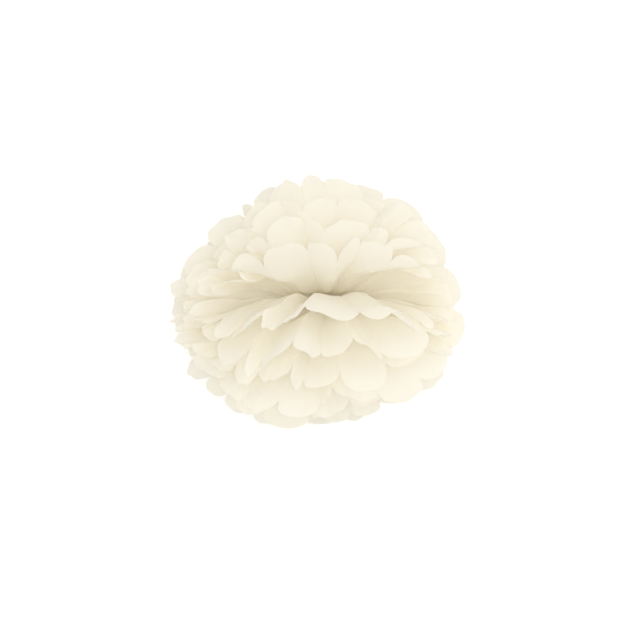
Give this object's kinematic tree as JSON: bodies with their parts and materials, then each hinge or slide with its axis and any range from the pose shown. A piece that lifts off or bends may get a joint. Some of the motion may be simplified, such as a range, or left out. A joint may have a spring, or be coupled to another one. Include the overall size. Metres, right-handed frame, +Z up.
{
  "type": "tissue paper pom pom",
  "caption": "Fluffy ball of folded tissue sheets with rounded petal ends, gathered at the middle by a wire tie and teased open.",
  "frame": {"origin": "middle of the bounding box, on the plane the pom pom rests on", "axes": "+Z up through the middle of the opened ball, away from the flattened resting side; +X along the seam between the two fans of petals; +Y across the seam, along the length of the flat sheets"},
  "size_m": [0.3632, 0.307, 0.2427],
  "materials": {
    "ivory_tissue": "matt, thin enough to let light through",
    "tie_wire": "ivory enamelled florist's wire, satin"
  },
  "bodies": {
    "root": {"sheet_1": "ivory_tissue", "sheet_2": "ivory_tissue", "sheet_3": "ivory_tissue", "sheet_4": "ivory_tissue", "sheet_5": "ivory_tissue", "sheet_6": "ivory_tissue", "sheet_7": "ivory_tissue", "sheet_8": "ivory_tissue", "sheet_9": "ivory_tissue", "sheet_10": "ivory_tissue", "tie_wire": "tie_wire"}
  },
  "joints": []
}
